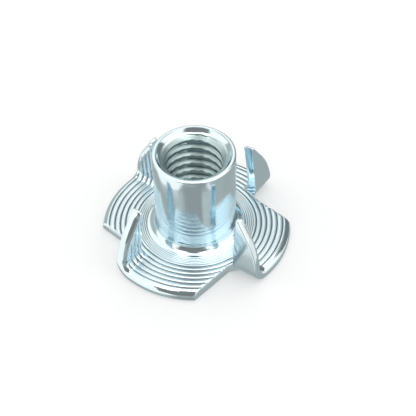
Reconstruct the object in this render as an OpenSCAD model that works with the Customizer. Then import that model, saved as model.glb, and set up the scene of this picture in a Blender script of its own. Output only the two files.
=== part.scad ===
// Four-prong tee nut, deep drawn and stamped from one piece of sheet steel.
// The underside of the flange lies on z = 0 and the barrel stands up along +Z.
// The flange is cut into four lobes like a pinwheel. One end of each lobe is
// bent up past upright into a prong, and the rings coined in the lobe run on
// over the bend and up the prong. The helical thread is not modelled: the bore
// is its plain minor diameter.

/* [Barrel] */
// Outside diameter of the barrel
barrel_d = 9.7; // [9:0.1:10.4]
// Height from the underside of the flange to the mouth of the barrel
overall_h = 12.6; // [9:0.1:20]
// Bore, the minor diameter of an M8 thread
bore_d = 6.65; // [6.4:0.05:7]
// Width of the lip left round the countersunk mouth
mouth_lip = 0.3; // [0.3:0.05:0.85]
// Depth of the countersunk mouth
mouth_depth = 1.05; // [0.4:0.05:1.6]
// Radius of the lip's outer edge
lip_r = 0.28; // [0.1:0.02:0.28]
// Radius of the fillet where the barrel meets the flange
root_r = 1.0; // [0.4:0.1:1.4]
// Radius of the drawn entry of the bore on the underside
entry_r = 1.5; // [0.5:0.1:2]

/* [Flange] */
// Diameter of the flange
flange_d = 22.8; // [21:0.1:25]
// Thickness of the sheet
sheet_t = 1.3; // [1:0.05:1.5]
// Radius of the rim's upper edge
rim_r = 0.5; // [0.2:0.05:0.6]
// Radius of the rim's lower edge
burr_r = 0.2; // [0.1:0.05:0.3]

/* [Rings] */
// Distance from the rim to the outermost coarse ring
ring_inset = 0.9; // [0.8:0.05:1.2]
// Spacing of the coarse rings
ring_pitch = 0.64; // [0.5:0.02:0.64]
// Number of coarse rings
ring_count = 6; // [1:1:6]
// Width of a coarse ring's groove
ring_w = 0.3; // [0.1:0.02:0.4]
// Depth of a coarse ring's groove
ring_depth = 0.1; // [0.04:0.01:0.16]
// Distance from the root fillet to the innermost fine ring
fine_inset = 0.2; // [0.1:0.05:0.4]
// Spacing of the fine rings, which end short of the coarse ones
fine_pitch = 0.24; // [0.16:0.01:0.4]
// Width of a fine ring's groove
fine_w = 0.13; // [0.06:0.01:0.14]
// Depth of a fine ring's groove
fine_depth = 0.04; // [0.02:0.01:0.08]

/* [Notches] */
// Distance from the axis to the straight cut edge of a lobe
cut_offset = 7.68; // [7.5:0.02:7.9]
// Angle between the cut edge and the bend line of the prong
cut_angle = 82; // [78:1:86]
// Distance from the bend line to the notch's inner corner
corner_e = 2.1; // [1.6:0.1:2.4]
// Length along the bend line of the gusset left beside the notch
gusset_l = 1.5; // [1:0.1:2]
// Radius of the notch's inner corner
corner_r = 0.8; // [0.3:0.1:1]

/* [Prongs] */
// Number of prongs
prong_count = 4; // [3:1:4]
// Direction of the first prong's bend line
prong_dir = 54; // [0:1:90]
// Distance from the axis to the prong's outer face, at the top of the flange
prong_offset = 3.66; // [3.5:0.02:4]
// How far the prong leans past upright
prong_lean = 4.6; // [0:0.2:8]
// Height of the prong's tip over the underside of the flange
prong_h = 8.9; // [7.5:0.1:9.2]
// Distance along the bend line from the axis to the prong's inner edge
prong_in = 7.7; // [7.6:0.05:7.9]
// Distance from the rim, at the bend line, to the outer edge of the bend
prong_inset = 0.15; // [0.1:0.05:0.4]
// How far the prong's outer edge stands back from that of the bend
blade_inset = 0.08; // [0.06:0.01:0.15]
// Radius of the curve of the prong's outer edge
outline_r = 13.5; // [12.5:0.1:15]
// Slope of the outer edge at the foot of the prong
foot_slope = 11; // [8:0.5:12]
// Slope of the tip's end face, which falls towards the ringed side
tip_slope = 45; // [30:1:60]
// Radius of the prong's tip
tip_r = 0.25; // [0.1:0.01:0.3]
// Inside radius of the bend
bend_r = 0.8; // [0.5:0.05:1.1]
// Radius of the prong's outer edge on the ringed side
edge_r = 0.4; // [0.2:0.05:0.4]
// How much shallower the grooves are on the prong
ring_fade = 0.01; // [0.01:0.01:0.03]

/* [Hidden] */
$fn = 96;
flange_r = flange_d / 2;
mouth_r = barrel_d / 2 - mouth_lip;
coarse = [for (i = [ring_count - 1 : -1 : 0]) flange_r - ring_inset - i * ring_pitch];
fine = [for (r = [barrel_d / 2 + root_r + fine_inset : fine_pitch : coarse[0] - ring_pitch / 2]) r];
// Outside radius of the bend
bend_out_r = bend_r + sheet_t;
// Distance of the bend's own axis from the nut's axis: the outer arc is tangent
// to the underside of the flange and to the prong's leaning outer face.
face_k = prong_offset * cos(prong_lean) + sheet_t * sin(prong_lean);
bend_e = (face_k - bend_out_r * (1 + sin(prong_lean))) / cos(prong_lean);
// Length of the prong from the end of the bend to its tip
blade_l = (prong_h - bend_out_r - bend_r * sin(prong_lean)) / cos(prong_lean);
// Distance along the bend line to what lies at a radius from the axis
function on_bend(r) = sqrt(pow(r, 2) - pow(bend_e, 2));
bend_rings = [for (r = coarse) on_bend(r)];
prong_out = on_bend(flange_r) - prong_inset;
// Cut clear of the solid
far = 2 * flange_d;

// The sharp corner left over when a corner at p is rounded, dir into the arc
module corner(p, dir, r) {
  translate(p)
    difference() {
      polygon([[0, 0], [dir.x * r, 0], [dir.x * r, dir.y * r], [0, dir.y * r]]);
      translate([dir.x * r, dir.y * r]) circle(r);
    }
}

// Points of one V groove in a level surface, centred on x
function groove(x, level, w, depth) =
  [[x - w / 2, level], [x, level - depth], [x + w / 2, level]];

function flatten(lists) = [for (list = lists) for (p = list) p];

// Half section of the barrel and the flange
module section() {
  difference() {
    union() {
      polygon(concat(
        [[bore_d / 2, 0], [bore_d / 2, overall_h - mouth_depth], [mouth_r, overall_h]],
        [[barrel_d / 2, overall_h], [barrel_d / 2, sheet_t]],
        flatten([for (r = fine) groove(r, sheet_t, fine_w, fine_depth)]),
        flatten([for (r = coarse) groove(r, sheet_t, ring_w, ring_depth)]),
        [[flange_r, sheet_t], [flange_r, 0]]));
      corner([barrel_d / 2, sheet_t], [1, 1], root_r);
    }
    corner([bore_d / 2, 0], [1, 1], entry_r);
    corner([barrel_d / 2, overall_h], [-1, -1], lip_r);
    corner([flange_r, sheet_t], [-1, -1], rim_r);
    corner([flange_r, 0], [-1, 1], burr_r);
  }
}

// Plan of one notch, with x along the bend line and y from it to the axis
module notch() {
  lean = 90 - cut_angle;
  corner_y = -bend_e - corner_e;
  corner_x = (cut_offset + corner_y * sin(lean)) / cos(lean);
  far_x = corner_x - far * tan(lean);
  gusset_x = prong_in + gusset_l;
  // half the angle between the two edges that meet at the inner corner
  slope = atan2(corner_e, gusset_x - corner_x);
  half = (90 + lean + slope) / 2;
  reach = corner_r / tan(half);
  mid = slope - half;
  p = [corner_x, corner_y];
  a = p - reach * [sin(lean), cos(lean)];
  b = p + reach * [cos(slope), sin(slope)];
  o = p + corner_r / sin(half) * [cos(mid), sin(mid)];
  polygon([[far, -bend_e], [gusset_x, -bend_e], b, o, a, [far_x, corner_y - far], [far, corner_y - far]]);
  translate(o) circle(corner_r);
}

// The sharp corners of the prong's outer edge, where that edge is at x
module edge_corners(x) {
  corner([x, bend_r], [-1, 1], edge_r);
  corner([x, bend_out_r], [-1, -1], burr_r);
}

// Turns a section, with x along the bend line and y out from the axis of the
// bend, through the whole bend
module around_bend() {
  turn = 90 + prong_lean;
  rotate([0, 90, 0]) rotate([0, 0, -turn])
    rotate_extrude(angle = turn) rotate(90) mirror([0, 1]) children();
}

// Takes the prong's own frame, with y up from the end of the bend and z through
// the sheet, to the bend
module above_bend() {
  rotate([90 - prong_lean, 0, 0]) children();
}

// The stretch that turns the sheet up from the flange
module bend() {
  around_bend()
    difference() {
      translate([prong_in, bend_r]) square([prong_out - prong_in, sheet_t]);
      edge_corners(prong_out);
    }
}

// Section through the prong's rounded outer edge, with x out from the centre
// of its curve and y through the sheet
module edge_section() {
  difference() {
    translate([0, bend_r]) square([outline_r, sheet_t]);
    edge_corners(outline_r);
  }
}

// Side of the prong, with x up from the end of the bend and y through the
// sheet: its end face slopes down from a rounded tip to the ringed side
module tip_side() {
  tip = [blade_l - tip_r, bend_out_r - tip_r];
  touch = tip + tip_r * [cos(tip_slope), -sin(tip_slope)];
  polygon([
    [0, bend_r], [touch.x - (touch.y - bend_r) * tan(tip_slope), bend_r],
    touch, tip, [tip.x, bend_out_r], [0, bend_out_r]]);
  translate(tip) circle(tip_r);
}

// The prong above the bend
module blade() {
  intersection() {
    translate([prong_out - blade_inset, 0] - outline_r * [cos(foot_slope), sin(foot_slope)])
      rotate_extrude(angle = 60) edge_section();
    translate([prong_in, 0]) rotate([90, 0, 90]) linear_extrude(far) tip_side();
  }
}

// Sections of the grooves that run on from the lobe over the bend
module prong_grooves() {
  for (x = bend_rings)
    if (x - ring_w / 2 > prong_in)
      polygon([
        [x - ring_w, bend_r - ring_depth], [x, bend_r + ring_depth - ring_fade],
        [x + ring_w, bend_r - ring_depth]]);
}

// Places what is drawn on the axis of the bend at each prong
module at_prongs() {
  for (i = [0 : prong_count - 1])
    rotate(prong_dir + i * 360 / prong_count)
      translate([0, -bend_e, bend_out_r]) children();
}

module tee_nut() {
  color("lightsteelblue")
    difference() {
      union() {
        difference() {
          rotate_extrude() section();
          for (i = [0 : prong_count - 1])
            rotate(prong_dir + i * 360 / prong_count)
              translate([0, 0, -sheet_t]) linear_extrude(3 * sheet_t) notch();
        }
        at_prongs() {
          bend();
          above_bend() blade();
        }
      }
      at_prongs() {
        around_bend() prong_grooves();
        above_bend() rotate([-90, 0, 0]) mirror([0, 1]) linear_extrude(blade_l) prong_grooves();
      }
    }
}

tee_nut();
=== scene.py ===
from math import asin, atan2, cos, pi, radians, sin, sqrt, tan

import bpy
import numpy as np
from mathutils import Matrix, Vector
from mathutils.geometry import delaunay_2d_cdt


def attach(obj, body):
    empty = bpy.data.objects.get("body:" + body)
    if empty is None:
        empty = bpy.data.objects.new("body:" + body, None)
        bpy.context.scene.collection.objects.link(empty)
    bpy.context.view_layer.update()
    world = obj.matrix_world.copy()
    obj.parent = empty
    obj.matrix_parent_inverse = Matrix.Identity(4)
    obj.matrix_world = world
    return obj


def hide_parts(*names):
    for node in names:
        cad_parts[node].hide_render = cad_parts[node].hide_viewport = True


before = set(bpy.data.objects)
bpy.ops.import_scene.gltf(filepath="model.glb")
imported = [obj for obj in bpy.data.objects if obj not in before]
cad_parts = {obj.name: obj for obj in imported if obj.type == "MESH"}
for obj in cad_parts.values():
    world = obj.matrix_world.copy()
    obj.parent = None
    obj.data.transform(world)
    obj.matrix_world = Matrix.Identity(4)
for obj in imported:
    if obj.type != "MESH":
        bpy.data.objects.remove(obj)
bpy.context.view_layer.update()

# ------------------------------------------------------------ sizes, in mm
MM = 0.001
LOBES = 4
QUARTER = 2 * pi / LOBES
COLUMNS = 240  # steps round the nut
LOBE_COLUMNS = COLUMNS // LOBES
STEP = 2 * pi / COLUMNS

BARREL_R = 4.85
HEIGHT = 12.6
LIP_R = 0.14  # outer edge of the mouth's lip
ROOT_R = 1.0  # fillet where the barrel meets the flange
ENTRY_R = 1.5  # drawn entry of the bore, on the underside
# the mouth is a shallow bowl: its radius at each depth below the lip
MOUTH_DEPTHS = (0, 0.1, 0.42, 0.5, 0.58, 0.63, 0.7, 1.05)
MOUTH_RADII = (4.44, 4.40, 4.10, 4.0, 3.78, 3.66, 3.6, 3.3)

MINOR_R = 3.325  # M8 thread
PITCH = 1.25
THREAD_DEPTH = 0.55
# in pitches: where the thread starts, half its flat root, and one flank
THREAD_START = 0.5
HALF_ROOT = 0.05
FLANK = 0.31

FLANGE_R = 11.4
SHEET = 1.3
RIM_R = 0.75  # upper edge of the rim and of the prong
BURR_R = 0.2  # their lower edge
TUMBLED = 0.12  # what tumbling made of the sheared edges
TUMBLED_UNDER = 0.08
TUMBLED_BACK = 0.1
SEAM_R = 7.61  # where the turned middle meets the stamped lobes

RINGS = (7.30, 7.91, 8.53, 9.17, 9.82, 10.50)
RING_W = 0.26
RING_DEPTH = 0.10
FINE_RINGS = (5.98, 6.22, 6.46, 6.70, 6.94)
FINE_W = 0.16
FINE_DEPTH = 0.035
GROOVE_STEPS = (-.5, -.36, -.24, -.12, 0, .12, .24, .36, .5)  # points across a groove, in widths

CUT_OFFSET = 7.68  # from the axis to the straight cut edge of a lobe
CUT_LEAN = radians(8)
CORNER_R = 0.8  # inner corner of the notch
CORNER_E = 2.1  # from the bend line to that corner
GUSSET_L = 1.5  # gusset left beside the notch, along the bend line

BEND_DIR = radians(54)
BEND_R = 0.8  # inside of the bend
LEAN = radians(4.6)  # of the prong, past upright
FACE_E = 3.66  # from the axis to the prong's outer face
PRONG_IN = 7.7  # from the axis to its inner edge, along the bend line
PRONG_H = 9.0
TIP_R = 0.2
CURL = 0.1  # how far the tip curls on past the lean
TIP_L = 0.7  # length over which the ringed side slopes to the tip
TIP_SLOPE = 0.7
TIP_EDGE_R = 0.45  # the rounded outer edge gets smaller over a length before the tip
TIP_EDGE_L = 0.6
CREASE = 0.07  # how much sharper the outer edge gets on the smooth side
THINNEST = 0.04
# lengths over which a form comes in or fades on the prong
GROOVE_IN = 0.8
GROOVE_FADE = 0.35
TIP_FADE = 0.3
SLOPE_IN = 0.1
EDGE_IN = 0.5
BEND_OUT = BEND_R + SHEET
MID_R = BEND_R + SHEET / 2
TURN = pi / 2 + LEAN
BEND_E = (FACE_E * cos(LEAN) + SHEET * sin(LEAN) - BEND_OUT * (1 + sin(LEAN))) / cos(LEAN)
BEND_T = TURN * MID_R  # the bend's length along the middle of the sheet
BLADE = (PRONG_H - BEND_OUT - BEND_R * sin(LEAN)) / cos(LEAN)
BEND_END = sqrt(FLANGE_R * FLANGE_R - BEND_E * BEND_E)  # end of the bend line, at the rim
# the prong's outer edge: straight over the bend, a round arc, straight to the tip
EDGE_R = 9.8
EDGE_LEAN = 0.91 * atan2(BEND_E, BEND_END)
TIP_LEAN = radians(33.4)

# how near points of a pattern come: to its outline, to each other, and to an edge or the bend line
NEAR = 0.012
APART = 0.025
CLEAR = 0.03


# ------------------------------------------------------- forms as functions
def fillet(d, r):
    """How far an edge of radius r has fallen away at a distance d inside it."""
    x = np.clip(r - d, 0, r)
    return r - np.sqrt(r * r - x * x)


def ring_groove(r, rings, width, depth):
    """Depth of the coined grooves at the radius r."""
    cut = np.zeros_like(r)
    for ring in rings:
        x = np.clip(np.abs(r - ring) / (width / 2), 0, 1)
        cut += depth * (1 + np.cos(pi * x)) / 2
    return cut


def smooth_step(x):
    """Rises softly from 0 to 1."""
    x = np.clip(x, 0, 1)
    return x * x * (3 - 2 * x)


def turned(p, angle):
    """Points turned about the nut's axis."""
    c, s = cos(angle), sin(angle)
    return np.stack([c * p[..., 0] - s * p[..., 1], s * p[..., 0] + c * p[..., 1]], -1)


def polar(r, theta):
    """The point at a radius and an angle from the nut's axis."""
    return np.array([r * cos(theta), r * sin(theta)])


def on_bend(r):
    """Where the radius r meets the bend line, from the middle of that line."""
    return np.sqrt(r * r - BEND_E * BEND_E)


# ---- the notch between two lobes: x along the bend line, y towards the axis
CUT_NORMAL = np.array([-cos(CUT_LEAN), sin(CUT_LEAN)])
NOTCH_Y = -BEND_E - CORNER_E
NOTCH_POINT = np.array([(CUT_OFFSET + NOTCH_Y * sin(CUT_LEAN)) / cos(CUT_LEAN), NOTCH_Y])
GUSSET_END = np.array([PRONG_IN + GUSSET_L, -BEND_E])
GUSSET = (GUSSET_END - NOTCH_POINT) / np.linalg.norm(GUSSET_END - NOTCH_POINT)
GUSSET_NORMAL = np.array([-GUSSET[1], GUSSET[0]])
HALF_CORNER = (pi - np.arccos(CUT_NORMAL @ GUSSET_NORMAL)) / 2
CORNER_OUT = -(CUT_NORMAL + GUSSET_NORMAL) / np.linalg.norm(CUT_NORMAL + GUSSET_NORMAL)
CORNER_MID = NOTCH_POINT + CORNER_OUT * CORNER_R / sin(HALF_CORNER)
TO_AXIS = -CORNER_MID / np.linalg.norm(CORNER_MID)
CORNER_NEAR = CORNER_MID + TO_AXIS * CORNER_R
SEAM_DIR = atan2(CORNER_MID[1], CORNER_MID[0])
SLIT_FOOT = NOTCH_POINT + GUSSET * (PRONG_IN - NOTCH_POINT[0]) / GUSSET[0]


def notch_distance(p):
    """Distance from the notch, for points in the sheet round it."""
    q = p - CORNER_MID
    a = np.arctan2(q[..., 1], q[..., 0]) % (2 * pi)
    a_cut, a_gusset = (atan2(n[1], n[0]) % (2 * pi) for n in (CUT_NORMAL, GUSSET_NORMAL))
    round_corner = np.hypot(q[..., 0], q[..., 1]) - CORNER_R
    d_cut, d_gusset = q @ CUT_NORMAL - CORNER_R, q @ GUSSET_NORMAL - CORNER_R
    return np.where(a > a_cut, d_cut, np.where(a < a_gusset, d_gusset, round_corner))


def edge_distance(p):
    """Distance from the sheared edges at both ends of the lobe."""
    own = np.where(p[:, 1] < -BEND_E - 1e-5, notch_distance(p), 1)
    return np.maximum(np.minimum(own, notch_distance(turned(p, -QUARTER))), 0)


# ---- the prong's outline: s along the bend line, t up the sheet from it
def arc_height(t):
    """Height at the length t above the centre of the outline's arc, kept on that arc."""
    return np.clip(t - BEND_T, 0, EDGE_R * (sin(TIP_LEAN) - sin(EDGE_LEAN))) + EDGE_R * sin(EDGE_LEAN)


def prong_edge(t):
    """Outline of the prong at the length t."""
    up = arc_height(t)
    arc = np.sqrt(EDGE_R ** 2 - up ** 2) - EDGE_R * cos(EDGE_LEAN)
    beyond = np.maximum(t - BEND_T + EDGE_R * sin(EDGE_LEAN) - up, 0)
    return BEND_END - np.minimum(t, BEND_T) * tan(EDGE_LEAN) + arc - beyond * tan(TIP_LEAN)


def prong_edge_slope(t):
    up = arc_height(t)
    return -up / np.sqrt(EDGE_R ** 2 - up ** 2)


def edge_stretch(t):
    """Length along the outline for each mm up the sheet."""
    return np.sqrt(1 + prong_edge_slope(t) ** 2)


def bent(s, t, y):
    """A point of the prong in space, at the distance y from the axis of the bend."""
    turn = np.clip(t / MID_R, 0, TURN)
    up = np.maximum(t - BEND_T, 0)
    e = BEND_E + y * np.sin(turn) + up * np.cos(turn) - CURL * (up / BLADE) ** 2
    z = BEND_OUT - y * np.cos(turn) + up * np.sin(turn)
    return np.stack([s, -e, z], -1)


# ---------------------------------------------------- rows of points on a lobe
def rows_of(radius, steps):
    """Distances from an edge at which its rounding is drawn, without the edge itself."""
    return [radius * (1 - sin(pi / 2 * i / steps)) for i in range(steps)]


def spread(a, b, step):
    """Points from a to b, both ends included, about a step apart."""
    a, b = np.asarray(a, float), np.asarray(b, float)
    n = max(1, round(float(np.linalg.norm(b - a)) / step))
    return [a + (b - a) * i / n for i in range(n + 1)]


def clear_of(points, found, gap):
    """Which of the points lie further than the gap from all those found already."""
    found = np.array(found)
    return [p for p in points if np.hypot(*(found - p).T).min() > gap]


RIM_ROWS = rows_of(RIM_R, 8)
BURR_ROWS = rows_of(BURR_R, 4)
EDGE_ROWS = rows_of(TUMBLED, 3)
# radii at which a lobe has points, on its ringed top and on its plain underside
RADII = [ring + RING_W * k for ring in RINGS[1:] for k in GROOVE_STEPS]
RADII += [(a + b) / 2 for a, b in zip(RINGS[1:], RINGS[2:])]
RADII = sorted(RADII + [FLANGE_R - d for d in RIM_ROWS])
UNDER = [8.3, 9.0, 9.7, 10.4, 11.0] + [FLANGE_R - d for d in BURR_ROWS]
GUSSET_X = list(np.linspace(PRONG_IN, GUSSET_END[0], 14))


def edge_of_cut(r, d=0.0):
    """Point of the straight cut edge at the radius r, at the distance d inside it."""
    reach = sqrt(r * r - (CUT_OFFSET - d) ** 2)
    return -CUT_NORMAL * (CUT_OFFSET - d) - reach * np.array([sin(CUT_LEAN), cos(CUT_LEAN)])


def corner_arc(first, last, d=0.0, steps=6):
    """Points round the notch's corner, from one direction to another."""
    a = [atan2(v[1], v[0]) % (2 * pi) for v in (first, last)]
    return [CORNER_MID + polar(CORNER_R + d, t) for t in np.linspace(*a, steps)]


def cut_row(radii, d=0.0):
    """Points along the cut edge and its corner, from the rim to the seam, at the distance d inside them."""
    end = np.linalg.norm(CORNER_MID + CUT_NORMAL * (CORNER_R + d)) + 0.01
    row = [edge_of_cut(r, d) for r in sorted(radii, reverse=True) if r > end]
    return [turned(p, QUARTER) for p in row + corner_arc(CUT_NORMAL, TO_AXIS, d)]


def slit_point(d):
    """Point of the prong's inner edge, at the distance d from the gusset's."""
    return SLIT_FOOT + np.array([0, d / GUSSET_NORMAL[1]])


def slit_row():
    """Points up the lobe's short inner edge, from the gusset to the bend line."""
    row = [slit_point(d) for d in sorted(EDGE_ROWS)]
    return row + spread(row[-1], [PRONG_IN, -BEND_E], 0.1)[1:]


def gusset_row(d=0.0):
    """Points along the corner and the gusset, from the seam to the slit."""
    arc = corner_arc(TO_AXIS, GUSSET_NORMAL, d)
    return arc + spread(arc[-1], slit_point(d), 0.08)[1:]


def gusset_point(x):
    """Point of the gusset's edge at a place along the bend line."""
    return np.array([x, SLIT_FOOT[1] + (x - PRONG_IN) * GUSSET[1] / GUSSET[0]])


def gusset_t(x):
    """Length up the bend at which the gusset meets its outer face."""
    return MID_R * np.arcsin(np.clip((GUSSET_END[0] - x) * GUSSET[1] / GUSSET[0] / BEND_OUT, 0, 1))


def seam(radii):
    """Points along the seam between two lobes, from the turned middle to the notch."""
    end = float(np.linalg.norm(CORNER_NEAR))
    between = [r for r in radii if SEAM_R < r < end - TUMBLED - 0.02]
    return [polar(r, SEAM_DIR) for r in [SEAM_R] + between + [end - d for d in EDGE_ROWS + [0]]]


def rim_row(r, rows):
    """Points along the rim, counterclockwise from the bend to the cut edge."""
    bend = -asin(BEND_E / r)
    cut = [atan2(p[1], p[0]) + QUARTER for p in (edge_of_cut(r, d) for d in rows + [0])]
    columns = [t for t in SEAM_DIR + STEP * np.arange(COLUMNS) if bend + 0.01 < t < cut[0] - 0.01]
    return [polar(r, t) for t in [bend] + columns + cut]


def ring_ends(radii, past):
    """Where those of the radii that meet the bend line past a point of it do so."""
    return [s for s in (float(on_bend(r)) for r in radii) if s > past + CLEAR]


# --------------------------------------------- the lobe's and the prong's sides
def sheet_faces(outline, inside, chains=()):
    """Triangles over the points inside a closed outline; chains of points stay connected."""
    points, index, edges = [], {}, set()

    def number(p):
        key = (round(float(p[0]), 4), round(float(p[1]), 4))
        if key not in index:
            index[key] = len(points)
            points.append((float(p[0]), float(p[1])))
        return index[key]

    for chain in [list(outline) + [outline[0]], *chains]:
        ids = [number(p) for p in chain]
        edges |= {(min(a, b), max(a, b)) for a, b in zip(ids, ids[1:]) if a != b}
    for p in inside:
        number(p)
    # 1 keeps the faces inside the outline alone
    made, _, faces, sources, _, _ = delaunay_2d_cdt([Vector(p) for p in points], sorted(edges), [], 1, 1e-5)
    flat = np.array([points[s[0]] if s else tuple(v) for v, s in zip(made, sources)])
    return flat, [list(f) for f in faces]


def lobe_side(under):
    """Flat pattern of one side of a lobe: its outline, the points inside it, and the rings between them."""
    radii = UNDER if under else RADII
    past = GUSSET_END[0] if under else PRONG_IN
    seam_row = seam(RADII)
    outline = seam_row + gusset_row()[1:]
    outline += [gusset_point(x) for x in GUSSET_X[1:]] if under else slit_row()
    outline += [np.array([s, -BEND_E]) for s in ring_ends(radii, past)] + rim_row(FLANGE_R, EDGE_ROWS)
    outline += cut_row(RADII + [FLANGE_R])[1:] + [turned(p, QUARTER) for p in seam_row[::-1]][1:]
    outline += [polar(SEAM_R, SEAM_DIR + STEP * i) for i in range(LOBE_COLUMNS - 1, 0, -1)]
    on_rim = [r for r in radii if r > FLANGE_R - RIM_R - 0.001]
    rows = [p for d in EDGE_ROWS for p in cut_row(RADII, d)[:-1] + gusset_row(d)[1:-1]]
    rows += [p for r in on_rim for p in rim_row(r, EDGE_ROWS)[1:-1]]
    inside, chains = clear_of(rows, outline, NEAR), []
    fixed = outline + inside
    for r in radii:
        if r in on_rim:
            continue
        ring = [polar(r, SEAM_DIR + STEP * i) for i in range(1, LOBE_COLUMNS)]
        ring = [p for p in ring if float(edge_distance(p[None])[0]) > TUMBLED + CLEAR
                and (p[1] > -BEND_E + CLEAR or p[0] < PRONG_IN - CLEAR)]
        ring = clear_of(ring, fixed, APART)
        inside += ring
        chains += [[a, b] for a, b in zip(ring, ring[1:]) if np.hypot(*(a - b)) < 1.2 * r * STEP]
    return outline, inside, chains


def lobe_top(p):
    """Points of the pattern on the ringed top of the lobe."""
    r = np.hypot(p[:, 0], p[:, 1])
    z = SHEET - ring_groove(r, RINGS, RING_W, RING_DEPTH) - fillet(FLANGE_R - r, RIM_R)
    return np.column_stack([p, z - fillet(edge_distance(p), TUMBLED)])


def lobe_under(p):
    """The underside, whose sheared edge fades out where it runs into the bend."""
    r, d = np.hypot(p[:, 0], p[:, 1]), edge_distance(p)
    keep = smooth_step(np.hypot(*(p - GUSSET_END).T))
    return np.column_stack([p, fillet(FLANGE_R - r, BURR_R) + keep * fillet(d, TUMBLED_UNDER)])


TIP_LINE = BEND_T + BLADE - TIP_L


def find_tip():
    """Centre of the rounded tip, inside both edges, and the direction of its outer tangent point."""
    t = BEND_T + BLADE - 1.0
    for _ in range(60):  # steps along until the tip's circle touches the outer edge
        d = (prong_edge(t) - (PRONG_IN + TIP_R)) / edge_stretch(t)
        t += (d - TIP_R) / 0.75
    return np.array([PRONG_IN + TIP_R, t]), atan2(-prong_edge_slope(t), 1)


TIP_MID, TIP_SIDE = find_tip()
FOOT_T = MID_R * asin((-BEND_E - SLIT_FOOT[1]) / BEND_OUT)  # where the gusset meets the bend at the slit
# lengths at which the prong has points: over the bend, to the start of the tip's slope, and over it
ROWS = [BEND_T * i / 24 for i in range(25)]
ROWS += list(np.linspace(BEND_T, TIP_LINE - 1.5 * SLOPE_IN, 25))[1:]
ROWS += [TIP_LINE + SLOPE_IN * k for k in (-1, -0.5, 0, 0.5, 1)]
ROWS += list(np.linspace(TIP_LINE + SLOPE_IN, TIP_MID[1], 7))[1:]


def prong_distances(s, t):
    """Distances inside the prong's outer and inner edge, which meet at the rounded tip."""
    outer = (prong_edge(t) - s) / edge_stretch(t)
    a = np.arctan2(t - TIP_MID[1], s - TIP_MID[0])
    tip = TIP_R - np.hypot(t - TIP_MID[1], s - TIP_MID[0])
    at_tip = a > TIP_SIDE
    return np.maximum(np.where(at_tip, tip, outer), 0), np.maximum(np.where(at_tip, 1, s - PRONG_IN), 0)


def prong_groove(s, t):
    """The rings run on up the prong and fade out towards its rounded edge and its tip."""
    outer, _ = prong_distances(s, t)
    at_edge = 1 - smooth_step(t / GROOVE_IN) * (1 - smooth_step((outer - GROOVE_FADE) / GROOVE_FADE))
    at_tip = 1 - smooth_step((t - TIP_LINE + TIP_FADE) / TIP_FADE)
    return ring_groove(np.hypot(s, BEND_E), RINGS, RING_W, 1) * at_edge * at_tip


def ringed_face(s, t):
    """The inside of the bend and the prong, as a distance from the axis of the bend."""
    outer, edge = prong_distances(s, t)
    start = TIP_LINE - TIP_EDGE_L
    radius = RIM_R - (RIM_R - TIP_EDGE_R) * smooth_step((t - start) / (TIP_MID[1] - start))
    x = t - TIP_LINE
    slope = np.where(np.abs(x) < SLOPE_IN, (x + SLOPE_IN) ** 2 / (4 * SLOPE_IN), np.maximum(x, 0))
    y = BEND_R + RING_DEPTH * prong_groove(s, t) + TIP_SLOPE * slope
    y += fillet(outer, radius) + smooth_step(t / EDGE_IN) * fillet(edge, TUMBLED)
    return np.minimum(y, smooth_face(s, t) - THINNEST)


def smooth_face(s, t):
    """The outside of the bend and the prong, whose outer edge is sharper on the prong."""
    outer, edge = prong_distances(s, t)
    radius = BURR_R - CREASE * smooth_step(t / BEND_T)
    keep = smooth_step((t - FOOT_T) / EDGE_IN)
    return BEND_OUT - fillet(outer, radius) - keep * fillet(edge, TUMBLED_BACK)


def in_space(p, under):
    """Points of the prong's pattern on one of its two faces."""
    s, t = p[:, 0], p[:, 1]
    return bent(s, t, smooth_face(s, t) if under else ringed_face(s, t))


def prong_border(d=0.0):
    """Points round the prong's edge, from the bend line at the rim to the tip and down the inner edge."""
    ts = np.linspace(0, TIP_MID[1] + (TIP_R - d) * sin(TIP_SIDE), 120)
    side = [np.array([prong_edge(t) - d * edge_stretch(t), t]) for t in ts]
    tip = [TIP_MID + polar(TIP_R - d, a) for a in np.linspace(TIP_SIDE, pi, 10)] if d < TIP_R else []
    return side, tip


def inner_lengths(under):
    """Lengths at which the prong's inner edge has points, from the tip down."""
    foot = FOOT_T + 0.02 if under else -1
    return [t for t in ROWS[::-1] if foot < t < TIP_MID[1] - 0.01]


def prong_side(under):
    """Pattern of one side of the prong: its outline and the points inside it."""
    radii, rounding = (UNDER, BURR_ROWS) if under else (RADII, RIM_ROWS)
    foot, past = (FOOT_T, GUSSET_END[0]) if under else (0, PRONG_IN)
    side, tip = prong_border()
    inner_ts = inner_lengths(under)
    outline = [np.array([x, float(gusset_t(x))]) for x in GUSSET_X] if under else [np.array([PRONG_IN, 0])]
    outline += [np.array([s, 0]) for s in ring_ends(radii, past)] + side + tip[1:]
    outline += [np.array([PRONG_IN, t]) for t in inner_ts]
    rows = []
    for d in rounding:
        rows += [p for p in prong_border(d)[0][1:] if p[0] > PRONG_IN + 0.02 and p[1] > 0.02]
    for d in EDGE_ROWS:
        rows += prong_border(d)[1]
        rows += [np.array([PRONG_IN + d, t]) for t in inner_ts if t > foot + 0.08]
    rows = [p for p in rows if min(prong_distances(p[0], p[1])) > 0.008]
    inside = clear_of(rows, outline, NEAR)
    fixed = outline + inside
    # lines of points up the prong: on the rings, beside its inner edge, and on the smooth side between
    lines = ring_ends(radii, PRONG_IN + TUMBLED) + [PRONG_IN + 0.2]
    if under:
        lines += [PRONG_IN + 0.4, 8.4, 8.8]
    for s in sorted(lines):
        column = [np.array([s, t]) for t in ROWS[1:] if t < TIP_MID[1]]
        column = [p for p in column if float(prong_distances(s, p[1])[0]) > max(rounding) + 0.04
                  and not (under and s < GUSSET_END[0] and p[1] < gusset_t(s) + 0.05)]
        inside += clear_of(column, fixed, CLEAR)
    return outline, inside


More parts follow.
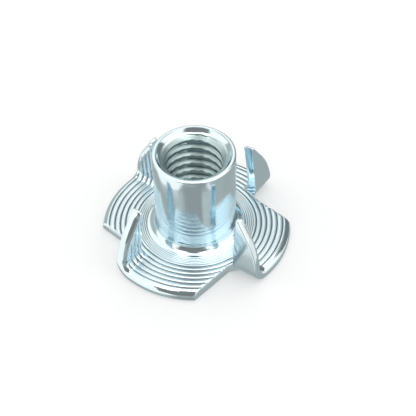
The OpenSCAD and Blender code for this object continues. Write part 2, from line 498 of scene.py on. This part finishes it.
# these groove depths set where painted shade darkens the bottoms of the coined grooves
def groove_mark(r):
    """How deep in a coined groove the radius r lies: 1 at the bottom, 0 on the flat."""
    return ring_groove(r, RINGS, RING_W, 1) + ring_groove(r, FINE_RINGS, FINE_W, 0.8)


def lobe_mark(p):
    return groove_mark(np.hypot(*p.T)) * smooth_step(edge_distance(p) / TUMBLED)


def prong_mark(s, t):
    return 0.9 * prong_groove(s, t) * smooth_step((s - PRONG_IN) / TUMBLED)


# ---------------------------------------------------- one lobe and its prong
def add_faces(store, points, faces, grooves=None):
    """Adds points and faces to the store, with how deep in a coined groove each point lies."""
    base = len(store[0])
    store[0].extend(tuple(float(c) for c in p) for p in points)
    store[1].extend([i + base for i in f] for f in faces)
    store[2].extend([0.0] * len(points) if grooves is None else grooves.tolist())


def strip(store, a, b):
    """A band of faces between two rows of as many points; where they meet it narrows to nothing."""
    n = len(a)
    add_faces(store, list(a) + list(b), [[i, i + 1, n + i + 1, n + i] for i in range(n - 1)])


def lobe_and_prong():
    """Points, faces and groove depths of one lobe with its prong, bend line along +X."""
    store = ([], [], [])
    for under, place in ((False, lobe_top), (True, lobe_under)):
        flat, faces = sheet_faces(*lobe_side(under))
        add_faces(store, place(flat), faces, None if under else lobe_mark(flat))
        flat, faces = sheet_faces(*prong_side(under))
        add_faces(store, in_space(flat, under), faces, None if under else prong_mark(*flat.T))
    # the wall of the rim runs on up the prong's outer edge and over its tip
    rim = np.array(rim_row(FLANGE_R, EDGE_ROWS))[::-1]
    side, tip = prong_border()
    border = np.array(side + tip[1:])[1:]
    strip(store, [*lobe_top(rim), *in_space(border, False)], [*lobe_under(rim), *in_space(border, True)])
    # walls of the cut edge and the gusset
    cut = np.array(cut_row(RADII + [FLANGE_R]))
    gusset = np.array(gusset_row())
    for edge in (cut, gusset[:-1]):
        strip(store, lobe_top(edge), lobe_under(edge))
    # the gusset's wall where it narrows into the bend
    foot = np.array([gusset_point(x) for x in GUSSET_X])
    meet = in_space(np.array([[x, float(gusset_t(x))] for x in GUSSET_X]), True)
    strip(store, lobe_under(foot), meet)
    add_faces(store, [*lobe_top(gusset[-2:]), meet[0], *lobe_under(gusset[-2:])[::-1]], [[0, 1, 2, 3, 4]])
    # the flat inner edge, round from the gusset up the ringed face and down the smooth one
    slit = np.array([SLIT_FOOT] + slit_row())
    up = np.array([[PRONG_IN, t] for t in inner_lengths(False)[::-1] + [TIP_MID[1]]])
    down = np.array([[PRONG_IN, t] for t in [TIP_MID[1]] + inner_lengths(True) + [FOOT_T]])
    loop = [*lobe_top(slit), *in_space(up, False)[1:], *in_space(down, True)]
    add_faces(store, loop, [list(range(len(loop)))])
    return store


# ---------------------------------------------------- the turned middle
def thread_r(theta, z):
    """Radius of the right-handed thread, a V with flat crest and root."""
    u = (z / PITCH - theta / (2 * pi) - THREAD_START) % 1
    u = np.minimum(u, 1 - u)
    return MINOR_R + THREAD_DEPTH * (1 - np.clip((u - HALF_ROOT) / FLANK, 0, 1))


def bore_r(theta, z):
    """The bore: thread, countersunk mouth and drawn entry, whichever is widest."""
    mouth = np.interp(HEIGHT - z, MOUTH_DEPTHS, MOUTH_RADII)
    up = np.clip(ENTRY_R - z, 0, ENTRY_R)
    entry = MINOR_R + ENTRY_R - np.sqrt(ENTRY_R ** 2 - up ** 2)
    return np.maximum(np.maximum(thread_r(theta, z), mouth), entry)


def turned_middle():
    """Points, faces and groove depths of the barrel and the middle of the flange."""
    rings = [RINGS[0] + RING_W * k for k in GROOVE_STEPS]
    rings += [r + FINE_W * k for r in FINE_RINGS for k in GROOVE_STEPS[::2]]
    r = np.array([SEAM_R] + sorted(rings, reverse=True))
    z = SHEET - ring_groove(r, RINGS, RING_W, RING_DEPTH) - ring_groove(r, FINE_RINGS, FINE_W, FINE_DEPTH)
    flat = list(zip(r, z))
    root = [(BARREL_R + ROOT_R * (1 - sin(a)), SHEET + ROOT_R * (1 - cos(a)))
            for a in np.linspace(0, pi / 2, 15)]
    wall = [(BARREL_R, z) for z in (3.5, 5, 6.5, 8, 9.5, 11)]
    lip = [(BARREL_R - LIP_R * (1 - cos(a)), HEIGHT - LIP_R * (1 - sin(a)))
           for a in np.linspace(0, pi / 2, 7)]
    # rows of the bore: close together in the mouth, a twentieth of the pitch apart, then down the entry
    mouth = [0, 0.05, 0.1, 0.2, 0.3, 0.38, 0.42, 0.46, 0.5, 0.54, 0.58, 0.61, 0.63, 0.66, 0.7]
    heights = [HEIGHT - d for d in mouth] + list(np.arange(HEIGHT - 0.76, 0.3, -PITCH / 20))
    heights += [0.22, 0.15, 0.09, 0.045, 0.015, 0]
    under = [(r, 0) for r in (5.2, 6.0, 7.0, SEAM_R)]
    theta = SEAM_DIR + STEP * np.arange(COLUMNS)
    rows = [(np.full(COLUMNS, r), z) for r, z in flat + root + wall + lip]
    rows += [(bore_r(theta, z), z) for z in heights]
    rows += [(np.full(COLUMNS, r), z) for r, z in under]
    points = [(r * cos(t), r * sin(t), z) for radii, z in rows for r, t in zip(radii, theta)]
    faces = []
    for j in range(len(rows) - 1):
        this, after = j * COLUMNS, (j + 1) * COLUMNS
        for i in range(COLUMNS):
            k = (i + 1) % COLUMNS
            faces.append([this + i, this + k, after + k, after + i])
    grooves = np.zeros(len(points))
    grooves[:COLUMNS * len(flat)] = np.repeat([float(groove_mark(r)) for r, _ in flat], COLUMNS)
    return points, faces, grooves


def make_nut():
    """The stamped nut: the turned middle and four turned copies of a lobe, merged into one closed skin."""
    store = ([], [], [])
    add_faces(store, *turned_middle())
    points, faces, grooves = lobe_and_prong()
    points, grooves = np.array(points), np.array(grooves)
    for k in range(LOBES):
        around = turned(points[:, :2], k * QUARTER)
        add_faces(store, np.column_stack([around, points[:, 2]]), faces, grooves)
    place = np.array(store[0])
    place = np.column_stack([turned(place[:, :2], BEND_DIR), place[:, 2]]) * MM
    mesh = bpy.data.meshes.new("stamped_nut")
    mesh.from_pydata(place.tolist(), [], store[1])
    mesh.attributes.new("groove", "FLOAT", "POINT").data.foreach_set("value", store[2])
    nut = bpy.data.objects.new("stamped_nut", mesh)
    bpy.context.scene.collection.objects.link(nut)
    bpy.ops.object.select_all(action="DESELECT")
    nut.select_set(True)
    bpy.context.view_layer.objects.active = nut
    bpy.ops.object.mode_set(mode="EDIT")
    bpy.ops.mesh.select_all(action="SELECT")
    bpy.ops.mesh.remove_doubles(threshold=0.003 * MM)
    bpy.ops.mesh.normals_make_consistent(inside=False)
    bpy.ops.object.mode_set(mode="OBJECT")
    bpy.ops.object.shade_smooth_by_angle(angle=radians(35))
    return nut


nut = make_nut()
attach(nut, "root")
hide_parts("tee_nut")


# ------------------------------------------------------------- materials
def linear(hex_colour):
    """An sRGB hex value as linear RGBA."""
    parts = [int(hex_colour[i:i + 2], 16) / 255 for i in (0, 2, 4)]
    return [c / 12.92 if c <= 0.04045 else ((c + 0.055) / 1.055) ** 2.4 for c in parts] + [1]


def add_node(tree, kind, links=None, **settings):
    """Adds a node. Settings are its properties, or inputs by name; links give an input its (node, output)."""
    node = tree.nodes.new(kind)
    for key, value in settings.items():
        if hasattr(node, key):
            setattr(node, key, value)
        else:
            node.inputs[key.replace("_", " ")].default_value = value
    for key, (source, output) in (links or {}).items():
        tree.links.new(source.outputs[output], node.inputs[key])
    return node


def new_material(name):
    material = bpy.data.materials.new(name)
    material.use_nodes = True
    material.node_tree.nodes.clear()
    return material, material.node_tree


# where each finish of the plate starts and is full, in mm from the axis or the underside
COINED_R = (5.8, 6.4)  # the flange, outside the fillet
COINED_END_R = (10.8, 10.6)  # the flat of the flange, inside its rounded rim
COINED_Z = (1.7, 1.3)  # the flange, below the bends
THREAD_R = (4.0, 3.7)  # the thread, inside the mouth
# streaks in steps per radian and per metre, real ones being a few hundredths of a mm wide and
# drawn coarser so that they show: 0.1 mm wide up the barrel, 0.11 mm wide round the flange
UP_STREAKS = (48, 400, 1)
ROUND_STREAKS = (22, 9000, 1)
GRAIN = 4000  # 0.25 mm, drawn coarser than the plate's own crystals for the same reason
CLOUDS = 500  # 2 mm, the soft unevenness of a plating bath
ROUGH = (0.07, 0.13)
COINED_ROUGH = 0.2
THREAD_ROUGH = 0.25
PLATE_COLOUR = "D2E7F1"
# the thread's colour is darker as painted shade inside the bore
THREAD_SHADE_COLOUR = "A6BDC2"
# painted shade for the bottoms of the coined grooves
GROOVE_SHADE_COLOUR = "5F6D75"


def bright_zinc():
    """Bright zinc plate, electroplated on drawn and coined sheet steel. It gives the eye a blue-white
    metal, even and fairly sharp in its mirror images, with fine streaks that run up the drawn barrel
    and round the coined flange. The coined flat and the cut thread are duller. The thread's colour is
    darker as painted shade inside the bore, and painted shade darkens the coined grooves' bottoms."""
    material, tree = new_material("bright_zinc_plate")
    place = add_node(tree, "ShaderNodeTexCoord")
    axes = add_node(tree, "ShaderNodeSeparateXYZ", {"Vector": (place, "Object")})
    angle = add_node(tree, "ShaderNodeMath", {0: (axes, "Y"), 1: (axes, "X")}, operation="ARCTAN2")
    level = add_node(tree, "ShaderNodeCombineXYZ", {"X": (axes, "X"), "Y": (axes, "Y")})
    radius = add_node(tree, "ShaderNodeVectorMath", {0: (level, 0)}, operation="LENGTH")
    # masks: flange and prongs, below the bends, prongs alone, coined flat, thread
    flange = add_node(tree, "ShaderNodeMapRange", {"Value": (radius, "Value")},
                      From_Min=COINED_R[0] * MM, From_Max=COINED_R[1] * MM)
    low = add_node(tree, "ShaderNodeMapRange", {"Value": (axes, "Z")},
                   From_Min=COINED_Z[0] * MM, From_Max=COINED_Z[1] * MM)
    prong = add_node(tree, "ShaderNodeMath", {0: (flange, 0), 1: (low, 0)},
                     operation="SUBTRACT", use_clamp=True)
    within = add_node(tree, "ShaderNodeMapRange", {"Value": (radius, "Value")},
                      From_Min=COINED_END_R[0] * MM, From_Max=COINED_END_R[1] * MM)
    coined = add_node(tree, "ShaderNodeMath", {0: (flange, 0), 1: (within, 0)}, operation="MULTIPLY")
    coined = add_node(tree, "ShaderNodeMath", {0: (coined, 0), 1: (low, 0)}, operation="MULTIPLY")
    thread = add_node(tree, "ShaderNodeMapRange", {"Value": (radius, "Value")},
                      From_Min=THREAD_R[0] * MM, From_Max=THREAD_R[1] * MM)
    # streaks up the barrel and round the flange, and none on the prongs
    up = add_node(tree, "ShaderNodeCombineXYZ", {"X": (angle, 0), "Y": (axes, "Z")})
    up = add_node(tree, "ShaderNodeVectorMath", {0: (up, 0)}, operation="MULTIPLY")
    up.inputs[1].default_value = UP_STREAKS
    up = add_node(tree, "ShaderNodeTexNoise", {"Vector": (up, 0)}, Scale=1, Detail=3, Roughness=0.6)
    about = add_node(tree, "ShaderNodeCombineXYZ", {"X": (angle, 0), "Y": (radius, "Value")})
    about = add_node(tree, "ShaderNodeVectorMath", {0: (about, 0)}, operation="MULTIPLY")
    about.inputs[1].default_value = ROUND_STREAKS
    about = add_node(tree, "ShaderNodeTexNoise", {"Vector": (about, 0)}, Scale=1, Detail=3, Roughness=0.6)
    streaks = add_node(tree, "ShaderNodeMix", {"Factor": (flange, 0), "A": (up, "Fac"), "B": (about, "Fac")})
    streaks = add_node(tree, "ShaderNodeMix", {"Factor": (prong, 0), "A": (streaks, "Result")}, B=0.5)
    grain = add_node(tree, "ShaderNodeTexNoise", {"Vector": (place, "Object")},
                     Scale=GRAIN, Detail=2, Roughness=0.6)
    fine = add_node(tree, "ShaderNodeBump", {"Height": (grain, "Fac")}, Strength=0.12, Distance=0.02 * MM)
    bump = add_node(tree, "ShaderNodeBump", {"Height": (streaks, "Result"), "Normal": (fine, "Normal")},
                    Strength=0.2, Distance=0.03 * MM)
    # gloss: cloudy, and duller on the coined flat and in the thread
    cloud = add_node(tree, "ShaderNodeTexNoise", {"Vector": (place, "Object")},
                     Scale=CLOUDS, Detail=2, Roughness=0.5)
    rough = add_node(tree, "ShaderNodeMapRange", {"Value": (cloud, "Fac")},
                     From_Min=0.3, From_Max=0.7, To_Min=ROUGH[0], To_Max=ROUGH[1])
    for mask, more in ((coined, COINED_ROUGH), (thread, THREAD_ROUGH)):
        duller = add_node(tree, "ShaderNodeMapRange", {"Value": (mask, 0)}, To_Max=more)
        rough = add_node(tree, "ShaderNodeMath", {0: (rough, 0), 1: (duller, 0)}, operation="ADD")
    # colour: plate, with painted shade on the thread and at the bottoms of the grooves
    # painted shade: the groove colour comes in towards the bottom of each groove
    groove = add_node(tree, "ShaderNodeAttribute", attribute_name="groove")
    deep = add_node(tree, "ShaderNodeMapRange", {"Value": (groove, "Fac")}, From_Min=0.35, From_Max=0.95)
    # painted shade: the thread takes the darker thread colour
    plate = add_node(tree, "ShaderNodeMixRGB", {"Fac": (thread, 0)},
                     Color1=linear(PLATE_COLOUR), Color2=linear(THREAD_SHADE_COLOUR))
    plate = add_node(tree, "ShaderNodeMixRGB", {"Fac": (deep, 0), "Color1": (plate, 0)},
                     Color2=linear(GROOVE_SHADE_COLOUR))
    shader = add_node(tree, "ShaderNodeBsdfPrincipled",
                      {"Base Color": (plate, 0), "Roughness": (rough, 0), "Normal": (bump, "Normal")},
                      Metallic=1.0)
    add_node(tree, "ShaderNodeOutputMaterial", {"Surface": (shader, "BSDF")})
    return material


nut.data.materials.append(bright_zinc())

# ---------------------------------------------------------- studio, in metres
# A white floor in a white world. What the plate mirrors is set up for reflections alone, so that it
# leaves the floor's light as it is: a grey tent with windows and dark cards, and grey stretches and
# a dark one below the floor, far enough down to look the same from every upright face.
FLOOR_SIZE = 3
FLOOR_COLOUR = "F4F4F4"
FLOOR_LIFT = 0.13  # how much lighter than its light the floor shows, so that it ends in white
TENT_R = 0.8
TENT_COLOUR = "BABAB5"
# name, azimuth, elevation, distance, width, height, colour, strength
CARDS = [
    ("overhead", 0, 90, 0.50, 0.58, 0.58, "FFF6EE", 2.8),
    ("high_back", -155, 52, 0.49, 0.44, 0.24, "FFF6EE", 1.35),
    ("left_window", -75, 25, 0.50, 0.75, 1.1, "FFF6EE", 1.4),
    ("right_window", 60, 22, 0.50, 0.84, 0.9, "FFF6EE", 1.5),
    ("camera_side", -11, 25.5, 0.40, 0.48, 0.53, "8C8884", 1.0),
    ("camera_top", -12, 68, 0.38, 0.12, 0.127, "989490", 1.0),
    ("back_right", 137, 15, 0.46, 0.66, 0.48, "848481", 1.0),
    ("back_left", -138, 12, 0.46, 0.50, 0.50, "C4C4BF", 1.0),
    ("high_left", -125, 58, 0.50, 0.5, 0.4, "FFF6EE", 1.3),
    ("low_left", -75, -22, 0.45, 0.9, 0.42, "FFF6EE", 1.3),
    ("low_right", 70, -22, 0.45, 0.9, 0.42, "FFF6EE", 1.1),
    ("low_back", 180, -20, 0.47, 0.9, 0.4, "FFF6EE", 1.0),
]
# the low pieces: their colours at the front and at the back, and between which lines those change
DISC_R = 0.0645
DISC_Z = -0.05
DISC_COLOURS = ("D2D2CD", "B8B8B4")
DISC_LINES = (-0.055, -0.02)
MAT_SIZE = (0.066, 0.13)
MAT_PLACE = (0.082, 0.0, -0.0499)
MAT_COLOURS = ("BEBEB9", "B8B8B4")
MAT_LINES = (-0.011, -0.004)
SHADE_COLOUR = "A8A6A2"
SHADE_Z = -0.0498
SHADE_LEFT = (0.75, 0.45)  # its soft sides, as x over y
SHADE_RIGHT = (-1, -0.8)
# corners of the dark stretch on the camera's side, in mm, from under the nut outwards and back
SHADE_CORNERS = [(-16, -20), (-50, -66), (12, -84), (4, -126), (-19, -214),
                 (-60, -380), (320, -380), (60, -72), (22, -66), (7, -20)]


def plain_floor():
    """A matt white floor that keeps the nut's shadow."""
    material, tree = new_material("white_sweep")
    light = add_node(tree, "ShaderNodeLightPath")
    seen = add_node(tree, "ShaderNodeMath", {0: (light, "Is Camera Ray"), 1: (light, "Is Glossy Ray")},
                    operation="MAXIMUM")
    lift = add_node(tree, "ShaderNodeMath", {0: (seen, 0)}, operation="MULTIPLY")
    lift.inputs[1].default_value = FLOOR_LIFT
    cloth = add_node(tree, "ShaderNodeBsdfDiffuse", Color=linear(FLOOR_COLOUR))
    glow = add_node(tree, "ShaderNodeEmission", {"Strength": (lift, 0)}, Color=linear("FFFFFF"))
    both = add_node(tree, "ShaderNodeAddShader", {0: (cloth, 0), 1: (glow, 0)})
    add_node(tree, "ShaderNodeOutputMaterial", {"Surface": (both, 0)})
    bpy.ops.object.select_all(action="DESELECT")
    bpy.ops.mesh.primitive_plane_add(size=FLOOR_SIZE)
    floor = bpy.context.object
    floor.name = "floor"
    floor.data.materials.append(material)
    floor.visible_glossy = False  # reflections see the low pieces instead


def only_mirrored(piece, name, material):
    """Finishes a piece of the studio that only reflections see."""
    piece.name = name
    piece.data.materials.append(material)
    piece.visible_camera = False
    piece.visible_diffuse = False
    piece.visible_shadow = False


def board(place, turn, width, height):
    """A flat board of the studio."""
    bpy.ops.object.select_all(action="DESELECT")
    bpy.ops.mesh.primitive_plane_add(size=1, location=place, rotation=turn)
    bpy.ops.transform.resize(value=(width, height, 1), orient_type="LOCAL")
    bpy.ops.object.transform_apply(location=False, rotation=False, scale=True)
    return bpy.context.object


def plain_glow(name, colour, strength):
    """Paper that shows one colour in reflections."""
    material, tree = new_material(name)
    glow = add_node(tree, "ShaderNodeEmission", Color=linear(colour), Strength=strength)
    add_node(tree, "ShaderNodeOutputMaterial", {"Surface": (glow, 0)})
    return material


def graded_glow(name, colours, lines):
    """Paper in one colour up to a line at its front, and in another from a line further back."""
    material, tree = new_material(name)
    place = add_node(tree, "ShaderNodeTexCoord")
    axes = add_node(tree, "ShaderNodeSeparateXYZ", {"Vector": (place, "Object")})
    far = add_node(tree, "ShaderNodeMapRange", {"Value": (axes, "Y")}, From_Min=lines[0], From_Max=lines[1])
    tone = add_node(tree, "ShaderNodeMixRGB", {"Fac": (far, 0)},
                    Color1=linear(colours[0]), Color2=linear(colours[1]))
    glow = add_node(tree, "ShaderNodeEmission", {"Color": (tone, 0)}, Strength=1.0)
    add_node(tree, "ShaderNodeOutputMaterial", {"Surface": (glow, 0)})
    return material


def card(name, azimuth, elevation, distance, width, height, colour, strength):
    """A card that faces the nut; azimuth 0 is the camera's side, 90 the right."""
    a, e = radians(azimuth), radians(elevation)
    place = Vector((sin(a) * cos(e), -cos(a) * cos(e), sin(e))) * distance
    piece = board(place, place.to_track_quat("Z", "Y").to_euler(), width, height)
    only_mirrored(piece, name, plain_glow(name, colour, strength))


def tent():
    """A grey tent round everything, which reflections see between the cards."""
    bpy.ops.object.select_all(action="DESELECT")
    bpy.ops.mesh.primitive_uv_sphere_add(radius=TENT_R)
    only_mirrored(bpy.context.object, "tent", plain_glow("tent", TENT_COLOUR, 1.0))


def low_disc():
    """The grey stretch that the upright faces mirror."""
    bpy.ops.object.select_all(action="DESELECT")
    bpy.ops.mesh.primitive_circle_add(vertices=64, radius=DISC_R, fill_type="NGON", location=(0, 0, DISC_Z))
    only_mirrored(bpy.context.object, "low_disc", graded_glow("low_disc", DISC_COLOURS, DISC_LINES))


def right_mat():
    """The grey stretch to the right of the disc."""
    piece = board(MAT_PLACE, (0, 0, 0), *MAT_SIZE)
    only_mirrored(piece, "right_mat", graded_glow("right_mat", MAT_COLOURS, MAT_LINES))


def front_shade():
    """The dark stretch that runs from under the nut to the camera, with soft sides along two rays."""
    material, tree = new_material("front_shade")
    place = add_node(tree, "ShaderNodeTexCoord")
    axes = add_node(tree, "ShaderNodeSeparateXYZ", {"Vector": (place, "Object")})
    slant = add_node(tree, "ShaderNodeMath", {0: (axes, "X"), 1: (axes, "Y")}, operation="DIVIDE")
    left = add_node(tree, "ShaderNodeMapRange", {"Value": (slant, 0)},
                    From_Min=SHADE_LEFT[0], From_Max=SHADE_LEFT[1])
    right = add_node(tree, "ShaderNodeMapRange", {"Value": (slant, 0)},
                     From_Min=SHADE_RIGHT[0], From_Max=SHADE_RIGHT[1])
    shade = add_node(tree, "ShaderNodeMath", {0: (left, 0), 1: (right, 0)}, operation="MULTIPLY")
    clear = add_node(tree, "ShaderNodeBsdfTransparent")
    glow = add_node(tree, "ShaderNodeEmission", Color=linear(SHADE_COLOUR), Strength=1.0)
    both = add_node(tree, "ShaderNodeMixShader", {0: (shade, 0), 1: (clear, 0), 2: (glow, 0)})
    add_node(tree, "ShaderNodeOutputMaterial", {"Surface": (both, 0)})
    mesh = bpy.data.meshes.new("front_shade")
    mesh.from_pydata([(x * MM, y * MM, SHADE_Z) for x, y in SHADE_CORNERS], [],
                     [list(range(len(SHADE_CORNERS)))])
    piece = bpy.data.objects.new("front_shade", mesh)
    bpy.context.scene.collection.objects.link(piece)
    only_mirrored(piece, "front_shade", material)


def studio_world():
    """A white world at the plain strength of 1."""
    world = bpy.data.worlds.new("studio")
    bpy.context.scene.world = world
    world.use_nodes = True
    tree = world.node_tree
    tree.nodes.clear()
    white = add_node(tree, "ShaderNodeBackground", Color=linear("FFFFFF"), Strength=1.0)
    add_node(tree, "ShaderNodeOutputWorld", {"Surface": (white, "Background")})


# ---- the camera, whose focal length and framing are counted in pixels of a square frame
FRAME = 416
SENSOR = 36
FOCAL = 1121.85
FRAME_RIGHT = 11.795
FRAME_UP = 12.639
CAMERA_EL = radians(46.646)
CAMERA_ROLL = radians(-1.4515)
CAMERA_FAR = 0.13602


def set_camera():
    """The camera looks down at the top of the flange, rolled a little."""
    back = Vector((0, -cos(CAMERA_EL), sin(CAMERA_EL)))
    level, up = Vector((1, 0, 0)), Vector((0, sin(CAMERA_EL), cos(CAMERA_EL)))
    right = cos(CAMERA_ROLL) * level + sin(CAMERA_ROLL) * up
    above = cos(CAMERA_ROLL) * up - sin(CAMERA_ROLL) * level
    aim = Vector((0, 0, SHEET * MM)) + (FRAME_RIGHT * right + FRAME_UP * above) * CAMERA_FAR / FOCAL
    camera = bpy.data.objects.new("camera", bpy.data.cameras.new("camera"))
    bpy.context.scene.collection.objects.link(camera)
    camera.data.sensor_width = SENSOR
    camera.data.lens = SENSOR * FOCAL / FRAME
    camera.data.clip_start = 0.005
    camera.data.clip_end = 10
    turn = Matrix((right, above, back)).transposed()
    camera.matrix_world = Matrix.Translation(aim + back * CAMERA_FAR) @ turn.to_4x4()
    bpy.context.scene.camera = camera


plain_floor()
for settings in CARDS:
    card(*settings)
tent()
low_disc()
right_mat()
front_shade()
studio_world()
set_camera()

bpy.context.scene.view_settings.view_transform = "Standard"
